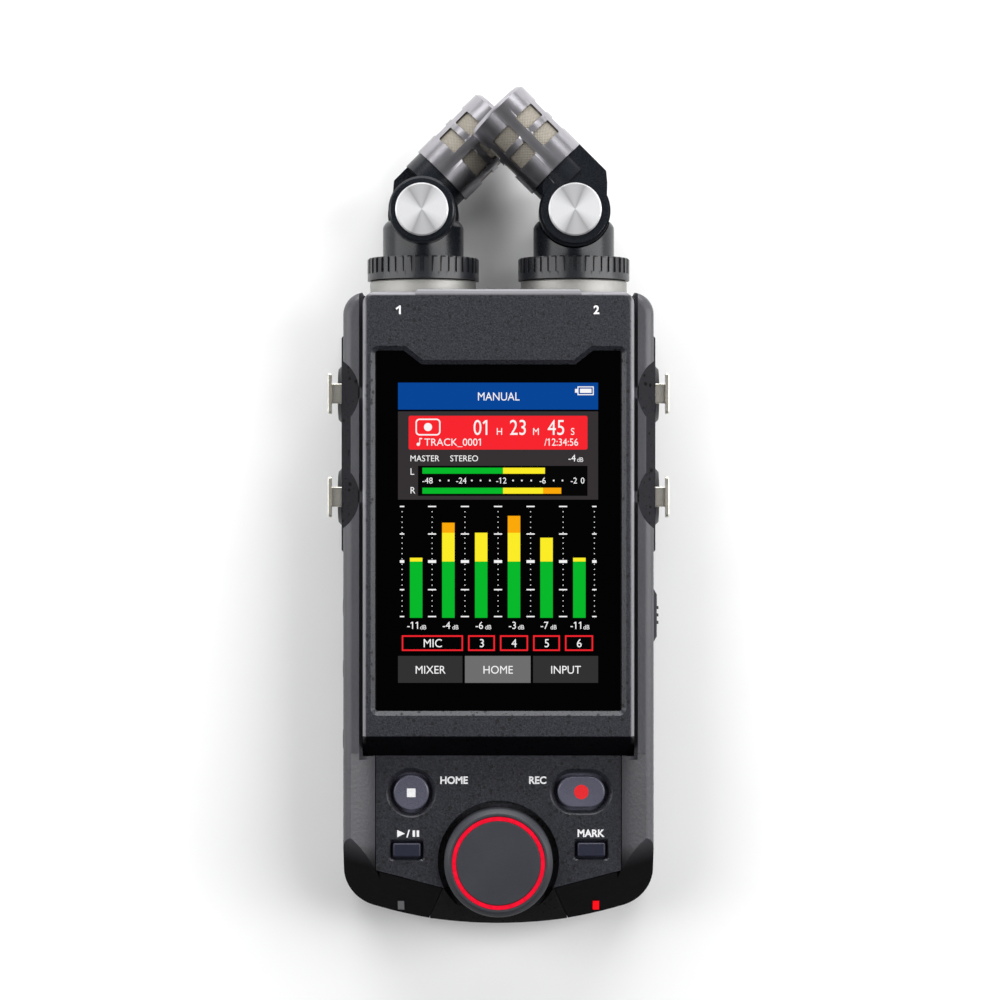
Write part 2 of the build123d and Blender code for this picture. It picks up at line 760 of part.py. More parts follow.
# Battery tray: a box open to the back, with posts that carry the board.
bay_middle = (bay_bottom + bay_top) / 2
with BuildPart() as battery_tray:
    with BuildSketch(Plane.XY.offset(2.3)):
        with Locations((0, bay_middle)):
            Rectangle(2 * bay_half_width, bay_top - bay_bottom)
    extrude(amount=16.4)
    with BuildSketch(Plane.XY.offset(2.3)):
        with Locations((0, bay_middle)):
            Rectangle(2 * bay_half_width - 2.4, bay_top - bay_bottom - 1.2)
    extrude(amount=15.2, mode=Mode.SUBTRACT)
    with BuildSketch(Plane.XY.offset(18.7)):
        with Locations((0, bay_middle)):
            with GridLocations(50, 44, 2, 2):
                Circle(2)
    extrude(amount=board_low - 18.7)
save(battery_tray.part, "battery_tray")

cell_spots = [(i - 1.5) * cell_pitch for i in range(4)]
with BuildPart() as battery_cells:
    for i, x in enumerate(cell_spots):
        end = 1 if i % 2 else -1
        cap_plane = Plane(origin=(x, bay_middle, 9.7), x_dir=(1, 0, 0), z_dir=(0, end, 0))
        with BuildSketch(cap_plane.offset(-cell_length / 2)):
            Circle(cell_radius)
        extrude(amount=cell_length - 1)
        with BuildSketch(cap_plane.offset(cell_length / 2 - 1)):
            Circle(2.6)
        extrude(amount=1)
save(battery_cells.part, "battery_cells")

with BuildPart() as battery_contacts:
    for end in (-1, 1):
        wall_y = bay_middle + end * ((bay_top - bay_bottom) / 2 - 0.6)
        with BuildSketch(Plane(origin=(0, wall_y, 9.7), x_dir=(1, 0, 0), z_dir=(0, -end, 0))):
            with Locations(*[(x, 0) for x in cell_spots]):
                Rectangle(10, 10)
        extrude(amount=0.5)
        for i, x in enumerate(cell_spots):
            spring = end == (-1 if i % 2 else 1)
            with Locations(Plane(origin=(x, wall_y - end * 0.5, 9.7), z_dir=(0, -end, 0))):
                base = (Align.CENTER, Align.CENTER, Align.MIN)
                Cone(3.6, 2.4, 0.9, align=base) if spring else Cylinder(1.8, 0.9, align=base)
save(battery_contacts.part, "battery_contacts")

with BuildPart() as speaker:
    with Locations((0, speaker_y, wall + 0.1)):
        Cylinder(9, 1.4, align=(Align.CENTER, Align.CENTER, Align.MIN))
        Cone(8.2, 5.6, 3.0, align=(Align.CENTER, Align.CENTER, Align.MIN))
        Cylinder(5.4, 5.4, align=(Align.CENTER, Align.CENTER, Align.MIN))
save(speaker.part, "speaker")

with BuildPart() as tripod_insert:
    with Locations((0, tripod_y, 0)):
        Cylinder(5.0, tripod_depth + 1, align=(Align.CENTER, Align.CENTER, Align.MIN))
        Cylinder(
            tripod_radius, tripod_depth, align=(Align.CENTER, Align.CENTER, Align.MIN), mode=Mode.SUBTRACT
        )
save(tripod_insert.part, "tripod_insert")

with BuildPart() as case_screws:
    for spot in screw_spots():
        with Locations((*spot, 0.5)):
            Cylinder(1.85, 1.1, align=(Align.CENTER, Align.CENTER, Align.MIN))
            Cylinder(0.95, 20, align=(Align.CENTER, Align.CENTER, Align.MIN))
            Box(2.4, 0.5, 0.6, align=(Align.CENTER, Align.CENTER, Align.MIN), mode=Mode.SUBTRACT)
            Box(0.5, 2.4, 0.6, align=(Align.CENTER, Align.CENTER, Align.MIN), mode=Mode.SUBTRACT)
save(case_screws.part, "case_screws")


def make_microphone(side):
    # The two units are alike: the left one is the right one turned half a turn about its column.
    name = "left" if side < 0 else "right"
    axis_plane = Plane(origin=(side * mic_x, 0, mic_height), x_dir=(side, 0, 0), z_dir=(0, 0, side))
    pivot_plane = Plane(origin=(side * mic_x, pivot_y, mic_height), x_dir=(side, 0, 0), z_dir=(0, 0, side))
    arm_plane = Plane(origin=(side * mic_x, pivot_y, mic_height), x_dir=(-side, 1, 0), z_dir=(0, 0, side))
    neck_plane = Plane(origin=(side * mic_x, case_top, mic_height), x_dir=(side, 0, 0), z_dir=(0, 1, 0))

    with BuildPart() as collar:
        with BuildSketch(neck_plane):
            Circle(collar_radius)
        extrude(amount=collar_top - case_top)
        fillet(collar.faces().sort_by(Axis.Y)[-1].edges(), 0.5)
        with BuildSketch(neck_plane.offset(-wall - 4)):
            Circle(5.0)
        extrude(amount=wall + 4)
    save(collar.part, f"mic_collar_{name}")

    with BuildPart() as ring:
        with BuildSketch(neck_plane.offset(collar_top + 0.15 - case_top)):
            Circle(ring_radius)
            Circle(ring_bore, mode=Mode.SUBTRACT)
        extrude(amount=ring_top - collar_top - 0.15)
        chamfer(ring.faces().sort_by(Axis.Y)[-1].edges().sort_by(SortBy.LENGTH)[-1], 0.35)
        with BuildSketch(neck_plane.offset(ring_top - 3.9 - case_top)):
            with PolarLocations(ring_radius + 0.1, 40):
                Rectangle(1.1, 1.0)
        extrude(amount=5, mode=Mode.SUBTRACT)
    save(ring.part, f"lock_ring_{name}")

    with BuildPart() as column:
        with BuildSketch(axis_plane):
            with BuildLine():
                Polyline(
                    (0, collar_top), (ring_bore - 0.3, collar_top), (ring_bore - 0.3, ring_top - 0.3),
                    (column_radius, ring_top + 0.3), (column_radius, column_shoulder),
                )
                ThreePointArc(
                    (column_radius, column_shoulder), (column_radius - 0.9, column_top - 0.7),
                    (column_radius - 3.0, column_top),
                )
                Polyline((column_radius - 3.0, column_top), (0, column_top), (0, collar_top))
            make_face()
        revolve(axis=Axis((side * mic_x, 0, mic_height), (0, 1, 0)))
        with BuildSketch(pivot_plane.offset(-0.15)):
            Circle(arm_knuckle_radius + 0.3)
        extrude(amount=20, mode=Mode.SUBTRACT)
        with BuildSketch(pivot_plane.offset(-knuckle_half)):
            Circle(knuckle_radius)
        extrude(amount=knuckle_half - 0.15)
        chamfer(column.edges().filter_by(GeomType.CIRCLE).sort_by(Axis.Z)[-1 if side < 0 else 0], 0.6)
        with BuildSketch(pivot_plane.offset(-knuckle_half)):
            Circle(disc_radius + 0.1)
        extrude(amount=0.6, mode=Mode.SUBTRACT)
        with BuildSketch(pivot_plane.offset(-knuckle_half)):
            Circle(pin_radius)
        extrude(amount=knuckle_half, mode=Mode.SUBTRACT)
    save(column.part, f"mic_column_{name}")

    with BuildPart() as pin:
        with BuildSketch(pivot_plane.offset(-knuckle_half)):
            Circle(pin_radius)
        extrude(amount=2 * knuckle_half)
        for face in (-1, 1):
            with BuildSketch(pivot_plane.offset(face * disc_half)):
                Circle(disc_radius)
            extrude(amount=-face * (disc_half - knuckle_half + 0.6))
        rims = pin.edges().filter_by(GeomType.CIRCLE).group_by(Axis.Z)
        chamfer(rims[0] + rims[-1], 0.35)
    save(pin.part, f"pivot_pin_{name}")

    with BuildPart() as arm:
        with BuildSketch(pivot_plane.offset(0.15)):
            Circle(arm_knuckle_radius)
        extrude(amount=11.85)
        with BuildSketch(pivot_plane.offset(12)):
            Circle(knuckle_radius)
        extrude(amount=knuckle_half - 12)
        # Face plate: straight along the capsule, one rounded corner beside the pivot
        with BuildSketch(arm_plane.offset(10.5)) as plate:
            Polygon(
                (capsule_base - 0.1, 3.4), (capsule_base - 0.1, -12.2), (1.3, -12.2), (-1.0, -10.3),
                (-4.1, -7.0), (-2, 0), (0, 2.4), align=None,
            )
            fillet(plate.vertices().sort_by_distance(arm_plane.offset(10.5).from_local_coords((1.3, -12.2)))[0], 4)
        extrude(amount=5.2)
        socket_plane = Plane(
            origin=arm_plane.from_local_coords((6.0, -capsule_side, capsule_offset)),
            x_dir=(0, 0, 1), z_dir=(-side, 1, 0),
        )
        with BuildSketch(socket_plane):
            Circle(capsule_radius - 0.5)
        extrude(amount=capsule_base - 6.0)
        with BuildSketch(pivot_plane):
            Circle(pin_radius + 0.06)
        extrude(amount=20, mode=Mode.SUBTRACT)
        with BuildSketch(pivot_plane.offset(knuckle_half - 0.65)):
            Circle(disc_radius + 0.1)
        extrude(amount=3, mode=Mode.SUBTRACT)
    save(arm.part, f"mic_arm_{name}")

    base_plane = socket_plane.offset(capsule_base - 6.0)
    with BuildPart() as shell:
        with BuildSketch(base_plane):
            Circle(capsule_radius)
        extrude(amount=capsule_length)
        tip = shell.faces().sort_by(Axis(base_plane.origin, base_plane.z_dir))[-1]
        chamfer(tip.edges(), 0.9)
        with BuildSketch(base_plane.offset(3.0)):
            Circle(capsule_radius - capsule_wall)
        extrude(amount=capsule_length - 4.2, mode=Mode.SUBTRACT)
        # Two rows of six windows
        long_axis = Axis((0, 0, 0), base_plane.z_dir)
        for row in window_rows:
            row_origin = base_plane.offset(capsule_length - row - window_length / 2).origin
            for i in range(6):
                turn = Plane(row_origin, base_plane.x_dir.rotate(long_axis, 60 * i + 30), base_plane.z_dir)
                window = Plane(row_origin, turn.y_dir, turn.x_dir)
                with BuildSketch(window):
                    RectangleRounded(window_width, window_length, 0.5)
                extrude(amount=12, mode=Mode.SUBTRACT)
    save(shell.part, f"capsule_shell_{name}")

    with BuildPart() as mesh:
        with BuildSketch(base_plane.offset(4.0)):
            Circle(capsule_radius - capsule_wall - 0.1)
            Circle(capsule_radius - capsule_wall - 0.1 - mesh_thickness, mode=Mode.SUBTRACT)
        extrude(amount=capsule_length - 5.4)
    save(mesh.part, f"capsule_mesh_{name}")

    with BuildPart() as element:
        with BuildSketch(base_plane.offset(3.0)):
            Circle(5.6)
        extrude(amount=9)
        with BuildSketch(base_plane.offset(12.0)):
            Circle(5.0)
        extrude(amount=6)
    save(element.part, f"capsule_element_{name}")


for side in (-1, 1):
    make_microphone(side)
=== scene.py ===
import bpy
from math import pi, radians
from mathutils import Matrix, Vector


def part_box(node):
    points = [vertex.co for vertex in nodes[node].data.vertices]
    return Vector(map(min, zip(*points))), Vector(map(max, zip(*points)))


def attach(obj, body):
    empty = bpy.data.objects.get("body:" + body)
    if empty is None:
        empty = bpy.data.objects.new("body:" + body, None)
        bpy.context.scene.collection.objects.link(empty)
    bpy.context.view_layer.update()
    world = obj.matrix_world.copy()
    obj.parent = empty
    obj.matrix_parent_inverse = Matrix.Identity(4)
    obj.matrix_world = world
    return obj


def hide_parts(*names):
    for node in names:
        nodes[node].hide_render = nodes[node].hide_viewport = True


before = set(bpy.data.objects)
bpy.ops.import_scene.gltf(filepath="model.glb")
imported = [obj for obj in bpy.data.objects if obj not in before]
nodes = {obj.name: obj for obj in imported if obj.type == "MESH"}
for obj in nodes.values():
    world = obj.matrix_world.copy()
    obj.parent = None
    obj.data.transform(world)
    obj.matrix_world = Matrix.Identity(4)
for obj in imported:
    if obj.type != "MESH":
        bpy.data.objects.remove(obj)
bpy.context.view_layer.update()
mm = 0.001


def srgb(red, green, blue):
    # Screen colour, 0 to 255, to the light values the shaders use
    def one(v):
        v = v / 255
        return v / 12.92 if v <= 0.04045 else ((v + 0.055) / 1.055) ** 2.4

    return (one(red), one(green), one(blue), 1.0)


class Wire:
    # A socket that can be used in a sum
    def __init__(self, paint, socket):
        self.paint = paint
        self.socket = socket

    def maths(self, operation, first, second=0.0):
        return self.paint.add("ShaderNodeMath", {"operation": operation}, {0: first, 1: second})

    def __add__(self, other):
        return self.maths("ADD", self, other)

    def __radd__(self, other):
        return self.maths("ADD", other, self)

    def __sub__(self, other):
        return self.maths("SUBTRACT", self, other)

    def __rsub__(self, other):
        return self.maths("SUBTRACT", other, self)

    def __mul__(self, other):
        return self.maths("MULTIPLY", self, other)

    def __rmul__(self, other):
        return self.maths("MULTIPLY", other, self)

    def __truediv__(self, other):
        return self.maths("DIVIDE", self, other)

    def __pow__(self, other):
        return self.maths("POWER", self, other)

    def __lt__(self, other):
        return self.maths("LESS_THAN", self, other)


class Paint:
    # A material with a Principled shader, and its nodes
    def __init__(self, name, **constants):
        self.material = bpy.data.materials.new(name)
        self.material.use_nodes = True
        self.tree = self.material.node_tree
        self.shader = self.tree.nodes["Principled BSDF"]
        for socket, value in constants.items():
            self.shader.inputs[socketNames[socket]].default_value = value

    def feed(self, socket, value):
        if isinstance(value, Wire):
            self.tree.links.new(value.socket, socket)
        else:
            socket.default_value = value

    def add(self, kind, settings, inputs, output=0):
        node = self.tree.nodes.new(kind)
        for key, value in settings.items():
            if key == "stops":
                ramp = node.color_ramp.elements
                while len(ramp) < len(value):
                    ramp.new(0.5)
                for stop, (place, colour) in zip(ramp, value):
                    stop.position, stop.color = place, colour
            else:
                setattr(node, key, value)
        for key, value in inputs.items():
            self.feed(node.inputs[key], value)
        return Wire(self, node.outputs[output])

    def place(self):
        return self.add("ShaderNodeTexCoord", {}, {}, "Object")

    def split(self, vector):
        return [self.add("ShaderNodeSeparateXYZ", {}, {0: vector}, axis) for axis in "XYZ"]

    def noise(self, scale, detail=2.0, rough=0.5):
        inputs = {"Vector": self.place(), "Scale": scale, "Detail": detail, "Roughness": rough}
        return self.add("ShaderNodeTexNoise", {}, inputs, 0)

    def cells(self, scale, output="Distance", place=None):
        inputs = {"Vector": place or self.place(), "Scale": scale}
        return self.add("ShaderNodeTexVoronoi", {}, inputs, output)

    def single(self, operation, value):
        # A Math node with one input, such as a sine
        return self.add("ShaderNodeMath", {"operation": operation}, {0: value})

    def ramp(self, value, stops):
        return self.add("ShaderNodeValToRGB", {"stops": stops}, {0: value})

    def tones(self, value, colour, stops):
        # A ramp of lighter and darker shades of one colour
        return self.ramp(value, [(place, shade(colour, amount)) for place, amount in stops])

    def fade(self, value):
        # From black at 0 to white at 1, held beyond them
        return self.ramp(value, [(0.0, (0, 0, 0, 1)), (1.0, (1, 1, 1, 1))])

    def mix(self, share, first, second):
        return self.add("ShaderNodeMix", {"data_type": "RGBA"}, {0: share, 6: first, 7: second}, 2)

    def bump(self, height, strength, distance, under=None):
        inputs = {"Height": height, "Strength": strength, "Distance": distance}
        if under:
            inputs["Normal"] = under
        return self.add("ShaderNodeBump", {}, inputs)

    def paintShade(self, share, colour):
        # Painted shade: blend towards a flat, lightless colour
        flat = self.add("ShaderNodeBsdfDiffuse", {}, {"Color": colour})
        coated = Wire(self, self.shader.outputs[0])
        blend = self.add("ShaderNodeMixShader", {}, {0: share, 1: coated, 2: flat})
        self.feed(self.tree.nodes["Material Output"].inputs["Surface"], blend)

    def wear(self, **sockets):
        for socket, value in sockets.items():
            self.feed(self.shader.inputs[socketNames[socket]], value)
        return self.material


socketNames = {
    "colour": "Base Color", "rough": "Roughness", "metal": "Metallic", "coat": "Coat Weight",
    "coatRough": "Coat Roughness", "normal": "Normal", "glow": "Emission Color",
    "glowStrength": "Emission Strength", "gloss": "Specular IOR Level", "alpha": "Alpha",
}


def shade(colour, amount):
    return tuple(c * amount for c in colour[:3]) + (1.0,)


grained = {
    "clouds": 90, "grainTones": ((0.3, 0.8), (0.7, 1.15)), "cloudRough": 0.14, "grainRough": 0.2,
    "relief": 0.35,
}


def grainedPlastic(name, colour, rough, grain, depth, vary=0.12, gloss=0.42):
    # Moulded plastic with a fine spark-eroded grain and faint handling marks
    paint = Paint(name, gloss=gloss)
    grainy = paint.noise(grain, 3)
    cloudy = paint.noise(grained["clouds"], 3)
    tone = paint.tones(cloudy, colour, ((0.3, 1 - vary), (0.7, 1 + vary)))
    fine = paint.tones(grainy, colour, grained["grainTones"])
    return paint.wear(
        colour=paint.mix(0.5, tone, fine),
        rough=rough + grained["cloudRough"] * (cloudy - 0.5) + grained["grainRough"] * (grainy - 0.5),
        normal=paint.bump(grainy, grained["relief"], depth),
    )


# Pits: cells to a metre, the share of cells left plain, and how large a pit grows
pitted = {
    "grain": 2700, "grainTones": ((0.35, 0.55), (0.5, 1.0), (0.66, 1.8)), "grainRough": 0.25,
    "grainRelief": 0.3, "grainDepth": 0.04 * mm, "shake": 2600.0, "wander": 0.4 * mm,
    "pits": ((680, 0.3, 0.52), (1400, 0.3, 0.45)), "pitTone": 0.1, "pitRough": 0.2, "pitRelief": 0.5,
    "pitDepth": 0.1 * mm, "shadowShare": 0.9, "shadowTone": 0.06,
}


def speckledPlastic(name, colour, rough, gloss=0.42, dark=None, paintedHighlight=None):
    # Dark moulding strewn with small black pits; when asked, painted shade below the step and a painted
    # highlight at the upper outer edges
    paint = Paint(name, gloss=gloss)
    body = paint.noise(pitted["grain"], 3, 0.6)
    tone = paint.tones(body, colour, pitted["grainTones"])
    shakeInputs = {"Vector": paint.place(), "Scale": pitted["shake"]}
    shake = paint.add("ShaderNodeTexNoise", {}, shakeInputs, 1)
    wander = {0: shake, 1: (pitted["wander"],) * 3, 2: paint.place()}
    wobbly = paint.add("ShaderNodeVectorMath", {"operation": "MULTIPLY_ADD"}, wander)
    pits = None
    for scale, plain, size in pitted["pits"]:
        chance = paint.split(paint.cells(scale, "Color", wobbly))[0]
        spot = paint.cells(scale, "Distance", wobbly) < (chance - plain) * size
        pits = spot if pits is None else 1 - (1 - pits) * (1 - spot)
    colourOut = paint.mix(pits, tone, shade(colour, pitted["pitTone"]))
    x, y, z = paint.split(paint.place())
    # Painted highlight: the upper outer edges are mixed towards a pale tone, standing in for the light they
    # catch
    if paintedHighlight:
        upper = paint.fade((z - paintedHighlight["foot"]) * paintedHighlight["sharp"])
        for beyond in (paint.single("ABSOLUTE", x) - paintedHighlight["side"], y - paintedHighlight["top"]):
            edge = paint.fade(beyond * paintedHighlight["sharp"])
            colourOut = paint.mix(edge * upper, colourOut, paintedHighlight["tone"])
    # Painted shade: below the step the frame blends towards a flat, near-black colour
    if dark:
        paint.paintShade((y < dark) * pitted["shadowShare"], shade(colour, pitted["shadowTone"]))
    grainBump = paint.bump(body, pitted["grainRelief"], pitted["grainDepth"])
    return paint.wear(
        colour=colourOut,
        rough=rough + pitted["grainRough"] * (body - 0.5) + pitted["pitRough"] * pits,
        normal=paint.bump(1 - pits, pitted["pitRelief"], pitted["pitDepth"], grainBump),
    )


leathery = {
    "grain": 3200, "drops": 1050, "clouds": 60, "cloudTones": ((0.3, 0.88), (0.7, 1.12)),
    "grainTones": ((0.3, 0.8), (0.7, 1.2)), "grainRough": 0.25, "grainRelief": 0.4, "grainDepth": 0.05 * mm,
    "dropRelief": 0.22, "dropDepth": 0.12 * mm, "facetShadeTone": 0.15, "facetShadeShare": 0.7, "facetShadow": 0.06,
}


def leatheryPlastic(name, colour, rough, facet):
    # Soft-touch bumper with small raised drops over a fine grain, and painted shade that makes the facets at
    # the chin near black
    paint = Paint(name, gloss=0.5)
    grain = paint.noise(leathery["grain"], 3)
    drops = paint.cells(leathery["drops"])
    cloudy = paint.noise(leathery["clouds"], 2)
    tone = paint.tones(cloudy, colour, leathery["cloudTones"])
    fine = paint.tones(grain, colour, leathery["grainTones"])
    under = paint.bump(grain, leathery["grainRelief"], leathery["grainDepth"])
    x, y, z = paint.split(paint.place())
    sideways = paint.single("ABSOLUTE", x)
    # Painted shade on the chin facets: their colour is darkened and blended towards a flat near-black
    light = paint.fade((y - facet["start"] - facet["slope"] * sideways) * facet["sharp"])
    paint.paintShade((1 - light) * leathery["facetShadeShare"], shade(colour, leathery["facetShadow"]))
    return paint.wear(
        colour=paint.mix(light, shade(colour, leathery["facetShadeTone"]), paint.mix(0.5, tone, fine)),
        rough=rough + leathery["grainRough"] * (grain - 0.5),
        normal=paint.bump(drops, leathery["dropRelief"], leathery["dropDepth"], under),
    )


brushed = {
    "clouds": 220, "cloudTones": ((0.35, 0.93), (0.65, 1.05)), "cloudRough": 0.05, "markRough": 0.1,
    "relief": 0.1, "depth": 0.01 * mm,
}


def brushedMetal(name, colour, rough, scale=2500, metal=1.0):
    # Plated or painted metal with fine marks and a little blotching
    paint = Paint(name, metal=metal)
    marks = paint.noise(scale, 4)
    cloudy = paint.noise(brushed["clouds"], 3)
    return paint.wear(
        colour=paint.tones(cloudy, colour, brushed["cloudTones"]),
        rough=rough + brushed["cloudRough"] * (cloudy - 0.5) + brushed["markRough"] * (marks - 0.5),
        normal=paint.bump(marks, brushed["relief"], brushed["depth"]),
    )


# Rings and streaks are counted by distance from the pivot; the painted reflection tones run from one fan to
# the next
spun = {
    "rings": 42000, "streaks": 9000, "skew": 0.35, "streakShare": 0.2, "streakTones": ((0.3, 0.8), (0.7, 1.0)),
    "reflectionFans": ((0.0, 0.6), (0.1, 0.5), (0.2, 0.36), (0.3, 0.62), (0.55, 0.86), (0.85, 1.0)),
    "rough": 0.3, "streakRough": 0.12, "metal": 0.3, "streakMetal": 0.2, "relief": 0.12, "depth": 0.02 * mm,
}


def spunMetal(name, centre, colour):
    # Turned face: fine rings round the pivot, and fans of painted reflection, brighter and darker by angle
    paint = Paint(name)
    x, y, z = paint.split(paint.place())
    across, along = x - centre.x, y - centre.y
    square = across * across + along * along
    distance = square ** 0.5
    rings = paint.single("SINE", distance * spun["rings"])
    skew = across * across - along * along + spun["skew"] * across * along
    # Painted reflection: the colour turns lighter and darker in fans round the pivot
    reflectionFans = skew / (square + 1e-9) * 0.5 + 0.5
    streakInputs = {"W": distance * spun["streaks"], "Detail": 3.0}
    streaks = paint.add("ShaderNodeTexNoise", {"noise_dimensions": "1D"}, streakInputs)
    tone = paint.tones(reflectionFans, colour, spun["reflectionFans"])
    turned = paint.tones(streaks, colour, spun["streakTones"])
    return paint.wear(
        colour=paint.mix(spun["streakShare"], tone, turned),
        rough=spun["rough"] + spun["streakRough"] * (streaks - 0.5),
        metal=spun["metal"] + spun["streakMetal"] * (streaks - 0.5),
        normal=paint.bump(rings, spun["relief"], spun["depth"]),
    )


woven = {
    "around": 84, "along": 27, "wireTones": ((0.2, 0.5), (0.55, 1.0), (0.9, 1.35)), "foam": 1500,
    "foamTones": ((0.3, 0.75), (0.7, 1.15)), "foamShare": 0.4, "relief": 0.7, "depth": 0.08 * mm,
}


def wovenMesh(name, colour):
    # Wire weave over pale foam, laid out on the sleeve's own map
    paint = Paint(name, metal=0.35)
    chart = paint.add("ShaderNodeTexCoord", {}, {}, "UV")
    u, v, w = paint.split(chart)
    warp = paint.single("SINE", u * (2 * pi * woven["around"]))
    weft = paint.single("SINE", v * (2 * pi * woven["along"]))
    weave = warp * weft * 0.5 + 0.5
    foam = paint.noise(woven["foam"], 3)
    wires = paint.tones(weave, colour, woven["wireTones"])
    tint = paint.tones(foam, colour, woven["foamTones"])
    return paint.wear(
        colour=paint.mix(woven["foamShare"], wires, tint), rough=0.55 + 0.2 * (foam - 0.5),
        normal=paint.bump(weave, woven["relief"], woven["depth"]),
    )


display = {"gridPitch": 0.155 * mm, "gridTones": ((0.0, 0.94), (1.0, 1.0)), "rough": 0.12, "glow": 1.0}


def lit(name, colour):
    # A lit patch of the display, with its fine grid of dots
    paint = Paint(name, colour=(0, 0, 0, 1), rough=display["rough"], glowStrength=display["glow"])
    x, y, z = paint.split(paint.place())
    grid = paint.single("SINE", x * (2 * pi / display["gridPitch"]))
    return paint.wear(glow=paint.tones(grid * 0.5 + 0.5, colour, display["gridTones"]))


def printed(name, colour):
    # Silk-screened ink, a little uneven
    paint = Paint(name)
    ink = paint.noise(3000, 2)
    tone = paint.tones(ink, colour, ((0.3, 0.86), (0.6, 1.0)))
    return paint.wear(colour=tone, rough=0.5 + 0.2 * (ink - 0.5), normal=paint.bump(ink, 0.2, 0.01 * mm))


def clearLens(name, colour, glow=0.0):
    # Moulded light guide: glossy, with a faint swirl inside
    paint = Paint(name, glowStrength=glow, coat=0.6)
    swirl = paint.noise(900, 2)
    tone = paint.tones(swirl, colour, ((0.3, 0.8), (0.7, 1.0)))
    return paint.wear(colour=tone, glow=tone, rough=0.18 + 0.1 * (swirl - 0.5))


stepLength = 5.1 * mm
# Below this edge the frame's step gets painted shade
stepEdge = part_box("front_frame")[0].y + stepLength  # the frame is in shadow below this
# Where painted shade darkens the bumper's chin facets
chinFacet = {"start": -98.2 * mm, "slope": 0.262, "sharp": 170}
# Painted highlight along the frame's upper side and top edges: where it starts, how sharply it fades in, and
# its pale tone
frameEdgeHighlight = {
    "side": 32.6 * mm, "top": 52.1 * mm, "foot": 31.8 * mm, "sharp": 1400, "tone": srgb(142, 141, 146),
}
looks = {
    "frame": speckledPlastic("frameMoulding", srgb(40, 41, 47), 0.38, dark=stepEdge, paintedHighlight=frameEdgeHighlight),
    "deck": speckledPlastic("deckMoulding", srgb(36, 37, 43), 0.4),
    "jackPanel": speckledPlastic("jackPanelMoulding", srgb(19, 19, 26), 0.6, gloss=0.2),
    "bumper": leatheryPlastic("bumperMoulding", srgb(66, 66, 71), 0.42, chinFacet),
    "case": grainedPlastic("caseMoulding", srgb(36, 37, 41), 0.55, 3000, 0.00005),
    "chin": speckledPlastic("chinMoulding", srgb(14, 14, 16), 0.5, gloss=0.2),
    "wheel": grainedPlastic("wheelSoftTouch", srgb(48, 49, 55), 0.5, 4200, 0.00003),
    "ring": grainedPlastic("ringMoulding", srgb(32, 33, 37), 0.3, 3000, 0.00003),
    "mic": grainedPlastic("micMoulding", srgb(21, 24, 29), 0.27, 4200, 0.00002, gloss=0.32),
    "key": grainedPlastic("keyCap", srgb(84, 84, 98), 0.3, 4000, 0.00001),
    "smallKey": grainedPlastic("smallKeyCap", srgb(36, 37, 52), 0.34, 4000, 0.00001),
    "switch": grainedPlastic("switchMoulding", srgb(30, 30, 34), 0.4, 3000, 0.00003),
    "jack": grainedPlastic("jackMoulding", srgb(16, 16, 18), 0.4, 2600, 0.00003),
    "inner": grainedPlastic("innerMoulding", srgb(30, 30, 32), 0.5, 2600, 0.00003),
    "board": grainedPlastic("solderMask", srgb(20, 92, 52), 0.35, 5000, 0.00002, 0.25),
    "cell": grainedPlastic("cellSleeve", srgb(40, 52, 72), 0.3, 1200, 0.00001, 0.3),
    "cone": grainedPlastic("coneFibre", srgb(30, 28, 27), 0.7, 2200, 0.00006),
    "redRing": clearLens("redRing", srgb(214, 12, 42), 0.36),
    "clearLamp": clearLens("clearLamp", srgb(120, 119, 122), 0.1),
    "redLamp": clearLens("redLamp", srgb(240, 10, 22), 0.75),
    "nickel": brushedMetal("satinNickel", srgb(166, 164, 169), 0.3, 7000),
    "collar": brushedMetal("silverCollar", srgb(158, 157, 154), 0.55, 3500, 0.8),
    "tab": brushedMetal("tabNickel", srgb(225, 221, 210), 0.24, 2500, 0.75),
    "screw": brushedMetal("screwSteel", srgb(70, 70, 72), 0.35),
    "brass": brushedMetal("insertBrass", srgb(205, 170, 100), 0.3),
    "contact": brushedMetal("contactPlate", srgb(200, 196, 185), 0.3),
    "gold": brushedMetal("elementGold", srgb(206, 170, 96), 0.3),
}


def touchGlass():
    # Black-backed cover glass with the faintest smear of handling
    paint = Paint("touchGlass", colour=(0.0004, 0.0004, 0.0005, 1), gloss=0.12)
    smear = paint.noise(35, 2)
    return paint.wear(rough=0.05 + 0.05 * smear, coat=0.2 * smear)


looks["glass"] = touchGlass()

finishes = {
    "frame": ["front_frame"],
    "deck": ["deck_panel"],
    "jackPanel": ["left_jack_panel", "right_jack_panel"],
    "bumper": ["left_bumper", "right_bumper"],
    "case": ["rear_cover", "battery_cover"],
    "chin": ["chin_piece"],
    "glass": ["touch_glass"],
    "wheel": ["jog_wheel"],
    "ring": ["lock_ring_left", "lock_ring_right"],
    "mic": ["mic_column_left", "mic_column_right", "mic_arm_left", "mic_arm_right"],
    "key": ["home_button", "rec_button"],
    "smallKey": ["play_button", "mark_button"],
    "switch": ["power_switch", "volume_up_button", "volume_down_button"],
    "inner": ["battery_tray", "display_module", "phones_jack", "line_out_jack", "ext_in_jack"],
    "board": ["main_board"],
    "cell": ["battery_cells"],
    "cone": ["speaker"],
    "redRing": ["wheel_ring"],
    "clearLamp": ["peak_lamp"],
    "redLamp": ["rec_lamp"],
    "nickel": ["capsule_shell_left", "capsule_shell_right"],
    "collar": ["mic_collar_left", "mic_collar_right"],
    "screw": ["case_screws"],
    "brass": ["tripod_insert"],
    "contact": ["battery_contacts", "usb_port", "card_socket", "wheel_encoder"],
    "gold": ["capsule_element_left", "capsule_element_right"],
}
